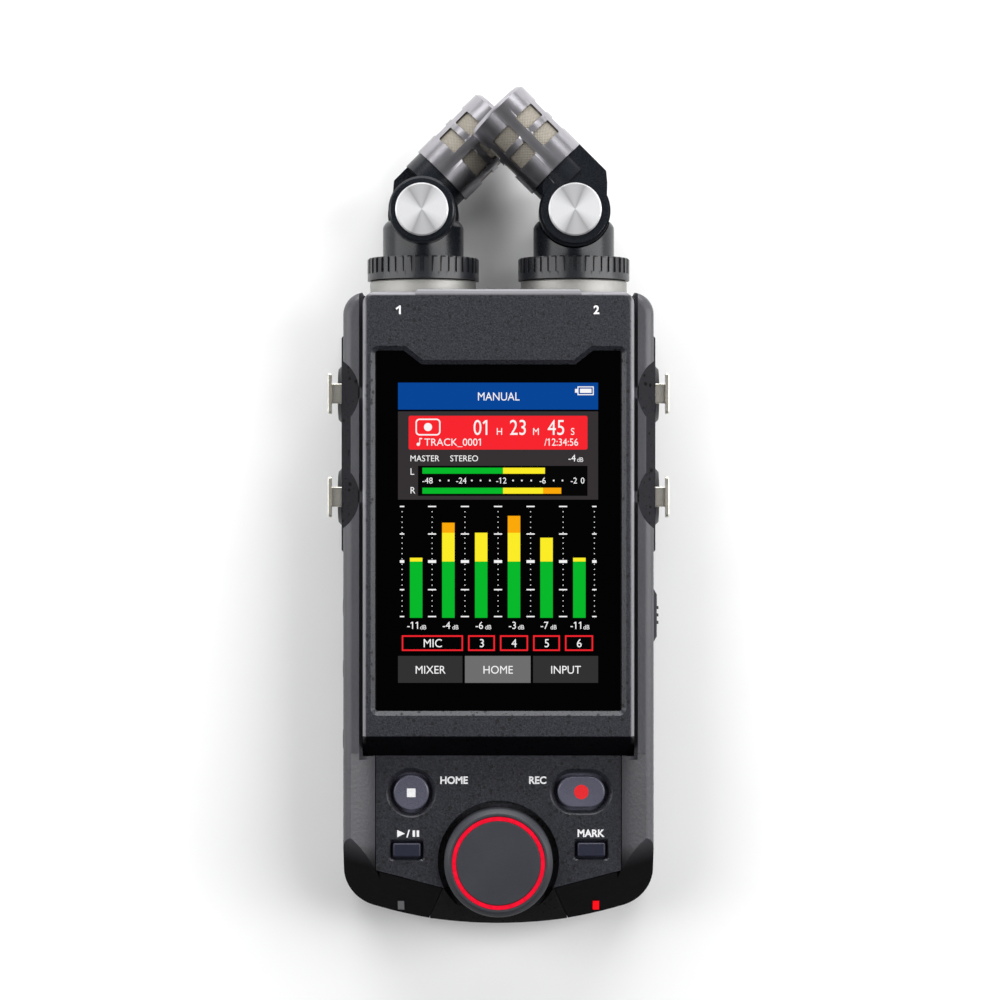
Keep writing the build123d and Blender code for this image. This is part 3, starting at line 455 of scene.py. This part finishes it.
for side in ("left", "right"):
    for row in ("upper", "lower"):
        finishes.setdefault("jack", []).append(f"combo_jack_{side}_{row}")
        finishes.setdefault("tab", []).append(f"release_tab_{side}_{row}")


def dress(node, material):
    mesh = nodes[node].data
    mesh.materials.clear()
    mesh.materials.append(material)


for look, names in finishes.items():
    for name in names:
        dress(name, looks[look])
for side in ("left", "right"):
    low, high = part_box(f"pivot_pin_{side}")
    dress(f"pivot_pin_{side}", spunMetal(f"spunDisc_{side}", (low + high) / 2, srgb(226, 226, 228)))
    dress(f"capsule_mesh_{side}", looks["contact"])
print("finishes done")

# Edge radius of each softened part, in millimetres
softened = {
    "front_frame": 0.3, "deck_panel": 0.15, "left_bumper": 0.9, "right_bumper": 0.9, "chin_piece": 0.25,
    "left_jack_panel": 0.3, "right_jack_panel": 0.3, "rear_cover": 0.2, "battery_cover": 0.15,
    "jog_wheel": 0.25, "lock_ring_left": 0.18, "lock_ring_right": 0.18, "mic_arm_left": 0.3,
    "mic_arm_right": 0.3, "mic_column_left": 0.25, "mic_column_right": 0.25, "mic_collar_left": 0.15,
    "mic_collar_right": 0.15, "capsule_shell_left": 0.16, "capsule_shell_right": 0.16, "touch_glass": 0.1,
    "play_button": 0.15, "mark_button": 0.15, "power_switch": 0.12,
}


rounding = {"weld": 0.002 * mm, "flat": 0.3, "wide": 0.5, "smallSteps": (2, 32), "wideSteps": (4, 17)}


def soften(name, width):
    # Facets of one face are merged first; a wide radius also takes in shallow edges
    steps, angle = rounding["smallSteps" if width < rounding["wide"] else "wideSteps"]
    piece = nodes[name]
    weld = piece.modifiers.new("weld", "WELD")
    weld.merge_threshold = rounding["weld"]
    merge = piece.modifiers.new("mergeFlats", "DECIMATE")
    merge.decimate_type = "DISSOLVE"
    merge.angle_limit = radians(rounding["flat"])
    bevel = piece.modifiers.new("soften", "BEVEL")
    bevel.width = width * mm
    bevel.segments = steps
    bevel.limit_method = "ANGLE"
    bevel.angle_limit = radians(angle)
    bevel.use_clamp_overlap = True
    piece.modifiers.new("evenNormals", "WEIGHTED_NORMAL")


for name, width in softened.items():
    soften(name, width)
print("edges softened")


def clearSelection():
    bpy.ops.object.select_all(action="DESELECT")


def bake(piece):
    # Put the piece's place into its mesh
    clearSelection()
    piece.select_set(True)
    bpy.context.view_layer.objects.active = piece
    bpy.ops.object.transform_apply(location=True, rotation=True, scale=True)
    return piece


def joinAll(name, pieces, material, body):
    clearSelection()
    for piece in pieces:
        piece.select_set(True)
    bpy.context.view_layer.objects.active = pieces[0]
    if len(pieces) > 1:
        bpy.ops.object.join()
    piece = bpy.context.view_layer.objects.active
    piece.name = name
    piece.data.materials.clear()
    piece.data.materials.append(material)
    bake(piece)
    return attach(piece, body)


def slab(x, y, width, height, bottom, thickness):
    # A thin rectangle, x and y at its middle
    clearSelection()
    bpy.ops.mesh.primitive_cube_add(
        size=1, location=(x, y, bottom + thickness / 2), scale=(width, height, thickness)
    )
    return bpy.context.object


def disc(x, y, radius, bottom, thickness, corners=48):
    clearSelection()
    bpy.ops.mesh.primitive_cylinder_add(
        vertices=corners, radius=radius, depth=thickness, location=(x, y, bottom + thickness / 2)
    )
    return bpy.context.object


def textMesh(words, bold):
    # Left-aligned text as a mesh, one unit high, lying at z 0 to 2
    clearSelection()
    bpy.ops.object.text_add(location=(0, 0, 0))
    piece = bpy.context.object
    piece.data.body = words
    piece.data.size = 1.0
    piece.data.extrude = 1.0
    piece.data.offset = bold
    piece.data.resolution_u = 4
    bpy.ops.object.convert(target="MESH")
    piece.data.transform(Matrix.Translation((0, 0, 1)))
    return piece


def rightEnd(piece):
    return max(v.co.x for v in piece.data.vertices)


letterShape = {
    "tall": 0.69, "stroke": 0.085, "flagTurn": 38, "flagBack": 1.9, "flagDown": 1.25, "flagLong": 2.3,
}


def lettering(words, x, y, height, bottom, thickness, align="CENTER", bold=0.0, narrow=1.0):
    # Text as a thin mesh, x at its anchor and y at its middle; each 1 gets a small flag
    tall, stroke = letterShape["tall"], letterShape["stroke"] + 2 * bold
    piece = textMesh(words, bold)
    wide = rightEnd(piece)
    flags = []
    for i, letter in enumerate(words):
        if letter == "1":
            start = textMesh(words[: i + 1], bold)
            end = rightEnd(start)
            bpy.data.objects.remove(start)
            clearSelection()
            bpy.ops.mesh.primitive_cube_add(
                size=1, rotation=(0, 0, radians(letterShape["flagTurn"])),
                location=(end - letterShape["flagBack"] * stroke, tall - letterShape["flagDown"] * stroke, 1),
                scale=(letterShape["flagLong"] * stroke, stroke, 2),
            )
            flags.append(bpy.context.object)
    if flags:
        clearSelection()
        for each in flags:
            each.select_set(True)
        piece.select_set(True)
        bpy.context.view_layer.objects.active = piece
        bpy.ops.object.join()
    shift = {"CENTER": -wide / 2, "LEFT": 0, "RIGHT": -wide}[align]
    size = height / tall
    piece.data.transform(Matrix.Translation((shift, -tall / 2, 0)))
    piece.data.transform(Matrix.Diagonal((size * narrow, size, thickness / 2, 1)))
    piece.data.transform(Matrix.Translation((x, y, bottom)))
    return piece


def roundSlab(x, y, width, height, corner, bottom, thickness):
    # A thin rectangle with round corners: a disc pulled apart along x and then y
    clearSelection()
    bpy.ops.mesh.primitive_cylinder_add(
        vertices=32, radius=corner, depth=thickness, location=(0, 0, 0), rotation=(0, 0, pi / 32)
    )
    piece = bake(bpy.context.object)
    for axis, pull in ((0, width - 2 * corner), (1, height - 2 * corner)):
        for v in piece.data.vertices:
            v.select = v.co[axis] > 0
        for group in (piece.data.edges, piece.data.polygons):
            for each in group:
                each.select = all(piece.data.vertices[i].select for i in each.vertices)
        bpy.ops.object.mode_set(mode="EDIT")
        bpy.ops.mesh.select_mode(type="VERT")
        bpy.ops.transform.translate(value=(pull, 0, 0) if axis == 0 else (0, pull, 0))
        bpy.ops.object.mode_set(mode="OBJECT")
    left, low = x - width / 2 + corner, y - height / 2 + corner
    piece.data.transform(Matrix.Translation((left, low, bottom + thickness / 2)))
    return piece


# The picture on the display, laid out in its own 320 by 480 dots
screen = {
    "width": 49.5 * mm, "dotsWide": 320, "dotsTall": 480, "thickness": 0.02 * mm,
    "blue": srgb(1, 69, 153), "red": srgb(250, 36, 46), "panel": srgb(53, 49, 51), "button": srgb(49, 49, 50),
    "lightButton": srgb(111, 111, 111), "green": srgb(2, 187, 42), "yellow": srgb(254, 239, 37),
    "orange": srgb(254, 170, 3), "white": srgb(250, 250, 250), "black": srgb(0, 0, 0),
}
glassLow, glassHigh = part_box("touch_glass")
dot = screen["width"] / screen["dotsWide"]
displayLow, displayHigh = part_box("display_module")
screenLeft = (displayLow.x + displayHigh.x) / 2 - screen["width"] / 2 - 0.1 * mm
screenTop = (displayLow.y + displayHigh.y) / 2 + dot * screen["dotsTall"] / 2 + 0.05 * mm
layers = {}


def patch(colour, left, top, right, bottom, level=0):
    x, y = screenLeft + dot * (left + right) / 2, screenTop - dot * (top + bottom) / 2
    base = glassHigh.z + level * screen["thickness"]
    piece = slab(x, y, dot * (right - left), dot * (bottom - top), base, screen["thickness"])
    layers.setdefault(colour, []).append(piece)


def roundPatch(colour, left, top, right, bottom, corner, level):
    x, y = screenLeft + dot * (left + right) / 2, screenTop - dot * (top + bottom) / 2
    base = glassHigh.z + level * screen["thickness"]
    layers.setdefault(colour, []).append(
        roundSlab(x, y, dot * (right - left), dot * (bottom - top), dot * corner, base, screen["thickness"])
    )


def dotPatch(colour, x, y, radius, level):
    base = glassHigh.z + level * screen["thickness"]
    layers.setdefault(colour, []).append(
        disc(screenLeft + dot * x, screenTop - dot * y, dot * radius, base, screen["thickness"])
    )


def say(colour, words, x, y, height, align="CENTER", level=2, bold=0.0, narrow=0.95):
    base = glassHigh.z + level * screen["thickness"]
    layers.setdefault(colour, []).append(
        lettering(words, screenLeft + dot * x, screenTop - dot * y, dot * height, base,
                  screen["thickness"], align, bold, narrow)
    )


def outline(colour, left, top, right, bottom, line, level=1):
    patch(colour, left, top, right, top + line, level)
    patch(colour, left, bottom - line, right, bottom, level)
    patch(colour, left, top + line, left + line, bottom - line, level)
    patch(colour, right - line, top + line, right, bottom - line, level)


def drawHeader():
    patch("blue", 0, 0, 320, 43)
    say("white", "MANUAL", 160.5, 22, 13, narrow=0.88)
    outline("white", 287, 6, 313, 20, 1.6)
    patch("white", 283, 10, 287, 16, 1)
    patch("white", 291, 9.6, 309.4, 16.4, 1)


def drawRecordPanel():
    patch("panel", 0, 46, 320, 187)
    roundPatch("red", 17, 53, 303, 107, 3, 1)
    roundPatch("white", 28, 57.5, 68, 84.5, 6.5, 2)
    roundPatch("red", 30.2, 59.7, 65.8, 82.3, 4.6, 3)
    dotPatch("white", 48, 71, 6.5, 4)
    for words, letter, left in (("01", "H", 120), ("23", "M", 178), ("45", "S", 239)):
        say("white", words, left, 71.5, 24, "LEFT", narrow=0.82)
        say("white", letter, left + 37, 78, 11, "LEFT", narrow=0.9)
    say("white", "TRACK_0001", 42, 95, 11.5, "LEFT", narrow=0.98)
    patch("white", 34, 88.5, 35.4, 98, 2)
    patch("white", 35.4, 88.5, 38.6, 90.5, 2)
    dotPatch("white", 32.4, 98.6, 2.6, 2)
    say("white", "/12:34:56", 288, 95, 11.5, "RIGHT", narrow=0.88)
    say("white", "MASTER", 19, 121, 9.5, "LEFT")
    say("white", "STEREO", 83, 121, 9.5, "LEFT")
    say("white", "-4", 284, 120.5, 11, "RIGHT")
    say("white", "dB", 286, 123, 7, "LEFT")


def drawMasterMeter():
    patch("black", 32, 133, 303, 181, 1)
    say("white", "L", 19, 142, 10.5, "LEFT")
    say("white", "R", 19, 172, 10.5, "LEFT")
    for top, ends in ((136, (168, 235)), (168, (168, 232, 261))):
        left = 39
        for colour, right in zip(("green", "yellow", "orange"), ends):
            patch(colour, left, top, right, top + 9.6, 2)
            left = right
    for words, x in (("-48", 47), ("-24", 101), ("-12", 165), ("-6", 231), ("-2", 281), ("0", 295)):
        say("white", words, x, 156.5, 9.5)
    for x in (67, 81, 118, 132, 147, 184, 198, 213, 249, 263):
        patch("white", x - 1.2, 155.3, x + 1.2, 157.7, 2)


def drawChannelMeters():
    bars = ((29, 280, 0), (80.5, 224, 240), (133, 240, 0), (185.5, 213, 240), (237.5, 248, 0), (290, 280, 0))
    barFoot, greenTop, tickTop, tickFoot, tickGaps = 376, 286, 198, 374, 21
    for x, top, orangeEnd in bars:
        patch("green", x - 10, greenTop, x + 10, barFoot)
        yellowTop = max(top, orangeEnd)
        patch("yellow", x - 10, yellowTop, x + 10, greenTop)
        if orangeEnd:
            patch("orange", x - 10, top, x + 10, orangeEnd)
    for x in (6.5, 54.5, 107, 160, 212, 264, 314):
        half = 3.5 if x in (6.5, 314) else 6.5
        for y, thick in ((tickTop, 1), (242, 1), (greenTop, 2.2), (331, 1), (tickFoot, 1)):
            patch("white", x - half, y - thick, x + half, y + thick)
        for i in range(tickGaps + 1):
            y = tickTop + i * (tickFoot - tickTop) / tickGaps
            patch("white", x - 0.7, y - 0.7, x + 0.7, y + 0.7)
    for x, words in ((29, "-11"), (80.5, "-4"), (133, "-6"), (185.5, "-3"), (237.5, "-7"), (290, "-11")):
        say("white", words, x + 3, 388, 11.5, "RIGHT", 0)
        say("white", "dB", x + 6, 391, 7, "LEFT", 0)


def drawButtons():
    boxes = (("MIC", 6, 104), ("3", 112, 155), ("4", 163, 208), ("5", 216, 259), ("6", 267, 312))
    for words, left, right in boxes:
        outline("red", left, 404, right, 429, 2.4, 0)
        say("white", words, (left + right) / 2, 416.5, 13, level=0)
    for words, colour, left, right in (("MIXER", "button", 0, 103), ("HOME", "lightButton", 107, 212),
                                       ("INPUT", "button", 216, 320)):
        patch(colour, left, 437, right, 480)
        say("white", words, (left + right) / 2, 459, 12.5)


drawHeader()
drawRecordPanel()
drawMasterMeter()
drawChannelMeters()
drawButtons()
for colour, pieces in layers.items():
    joinAll(f"display_{colour}", pieces, lit(f"lit_{colour}", screen[colour]), "root")
print("display drawn")

# Printed marks on the case
marks = {
    "ink": srgb(236, 236, 238), "redInk": srgb(226, 10, 24), "thickness": 0.02 * mm, "bold": 0.03,
    "word": 1.75 * mm, "narrow": 0.97, "number": 2.0 * mm, "numberDrop": 5.1 * mm, "aboveKey": 4.1 * mm,
    "arrow": 1.05 * mm, "bar": (0.62 * mm, 1.6 * mm), "stop": 2.15 * mm, "dot": 1.8 * mm,
}
ink = printed("whiteInk", marks["ink"])
redInk = printed("redInk", marks["redInk"])
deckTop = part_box("deck_panel")[1].z
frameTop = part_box("front_frame")[1].z


def middleOf(name):
    low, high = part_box(name)
    return (low + high) / 2


def deckWord(words, x, y, narrow=marks["narrow"]):
    return lettering(
        words, x, y, marks["word"], deckTop, marks["thickness"], bold=marks["bold"], narrow=narrow
    )


def printDeck():
    home, rec = middleOf("home_button"), middleOf("rec_button")
    play, mark = middleOf("play_button"), middleOf("mark_button")
    above = play.y + marks["aboveKey"]
    parts = [
        deckWord("HOME", home.x + 10.6 * mm, home.y + 3.1 * mm),
        deckWord("REC", rec.x - 10.9 * mm, rec.y + 2.9 * mm),
        deckWord("MARK", mark.x - 0.1 * mm, mark.y + marks["aboveKey"]),
        deckWord("/", play.x + 0.35 * mm, above, 1.0),
    ]
    arrow = disc(0, 0, marks["arrow"], deckTop, marks["thickness"], 3)
    arrow.data.transform(Matrix.Rotation(radians(-90), 4, "Z"))
    arrow.location.x, arrow.location.y = play.x - 1.75 * mm, above
    arrow.scale.x = 1.25
    parts.append(arrow)
    for shift in (1.75, 2.75):
        parts.append(slab(play.x + shift * mm, above, *marks["bar"], deckTop, marks["thickness"]))
    joinAll("deck_marks", parts, ink, "root")


def printFrame():
    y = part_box("front_frame")[1].y - marks["numberDrop"]
    parts = [
        lettering(words, x, y, marks["number"], frameTop, marks["thickness"], bold=marks["bold"])
        for words, x in (("1", -24.6 * mm), ("2", 24.2 * mm))
    ]
    joinAll("input_numbers", parts, ink, "root")


def printKeys():
    thick, wide = marks["thickness"], marks["stop"]
    homeTop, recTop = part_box("home_button")[1].z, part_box("rec_button")[1].z
    spot = middleOf("home_button")
    joinAll("stop_square", [slab(spot.x, spot.y, wide, wide, homeTop, thick)], ink, "home_button")
    spot = middleOf("rec_button")
    joinAll("rec_dot", [disc(spot.x, spot.y, marks["dot"], recTop, thick)], redInk, "rec_button")


printDeck()
printFrame()
printKeys()
print("marks printed")

# Woven sleeves in the microphone capsules
sleeve = {"radius": 8.0 * mm, "length": 15.8 * mm, "wall": 0.2 * mm, "sides": 96, "tone": srgb(141, 135, 124)}
weave = wovenMesh("wovenSleeve", sleeve["tone"])


def makeSleeve(side, sign):
    middle = middleOf(f"capsule_mesh_{side}")
    clearSelection()
    bpy.ops.mesh.primitive_cylinder_add(
        vertices=sleeve["sides"], radius=sleeve["radius"], depth=sleeve["length"], end_fill_type="NOTHING",
        location=middle, rotation=(radians(-90), 0, sign * radians(45)),
    )
    piece = bpy.context.object
    bpy.ops.object.mode_set(mode="EDIT")
    bpy.ops.mesh.subdivide(number_cuts=3)
    bpy.ops.object.mode_set(mode="OBJECT")
    wall = piece.modifiers.new("wall", "SOLIDIFY")
    wall.thickness = sleeve["wall"]
    bpy.ops.object.modifier_apply(modifier="wall")
    bpy.ops.object.shade_smooth_by_angle(angle=radians(40))
    joinAll(f"capsule_sleeve_{side}", [piece], weave, f"mic_{side}")
    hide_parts(f"capsule_mesh_{side}")


makeSleeve("left", -1)
makeSleeve("right", 1)
print("capsules done")

# Floor, light and camera
studio = {
    "floorTones": ((0.3, (0.93, 0.93, 0.93, 1)), (0.7, (0.95, 0.95, 0.95, 1))), "floorGrain": 30,
    "floorDrop": 0.2 * mm, "air": (0.9, 0.92, 0.95, 1), "airStrength": 0.05,
    "camera": (0.38 * mm, 1.6 * mm, 885 * mm), "lens": 124.0, "near": 0.01,
}
# Place, width and height of each light in metres, and its power in watts
lights = {
    "topLight": ((0, 1.0, 0.42), 1.3, 0.45, 17),
    "leftLight": ((-0.8, 0.1, 0.59), 0.45, 1.3, 7.5),
    "rightLight": ((0.8, 0.1, 0.59), 0.45, 1.3, 11),
}
clearSelection()
bpy.ops.mesh.primitive_plane_add(size=6, location=(0, 0, -studio["floorDrop"]))
floor = bpy.context.object
floor.name = "floor"
floorPaint = Paint("paleFloor", rough=0.9, gloss=0.1)
faint = floorPaint.noise(studio["floorGrain"], 2)
floor.data.materials.append(floorPaint.wear(colour=floorPaint.ramp(faint, studio["floorTones"])))


def softLight(name, place, width, height, power):
    # An area light aimed at the origin
    data = bpy.data.lights.new(name, "AREA")
    data.shape = "RECTANGLE"
    data.size, data.size_y, data.energy = width, height, power
    light = bpy.data.objects.new(name, data)
    bpy.context.collection.objects.link(light)
    light.location = place
    light.rotation_euler = (-Vector(place)).to_track_quat("-Z", "Y").to_euler()


for name, values in lights.items():
    softLight(name, *values)
world = bpy.data.worlds.new("studio")
world.use_nodes = True
air = world.node_tree.nodes["Background"].inputs
air[0].default_value, air[1].default_value = studio["air"], studio["airStrength"]
bpy.context.scene.world = world
bpy.context.scene.view_settings.view_transform = "Standard"

cameraData = bpy.data.cameras.new("camera")
cameraData.lens = studio["lens"]
cameraData.clip_start = studio["near"]
camera = bpy.data.objects.new("camera", cameraData)
camera.location = studio["camera"]
bpy.context.collection.objects.link(camera)
bpy.context.scene.camera = camera
print("studio set")
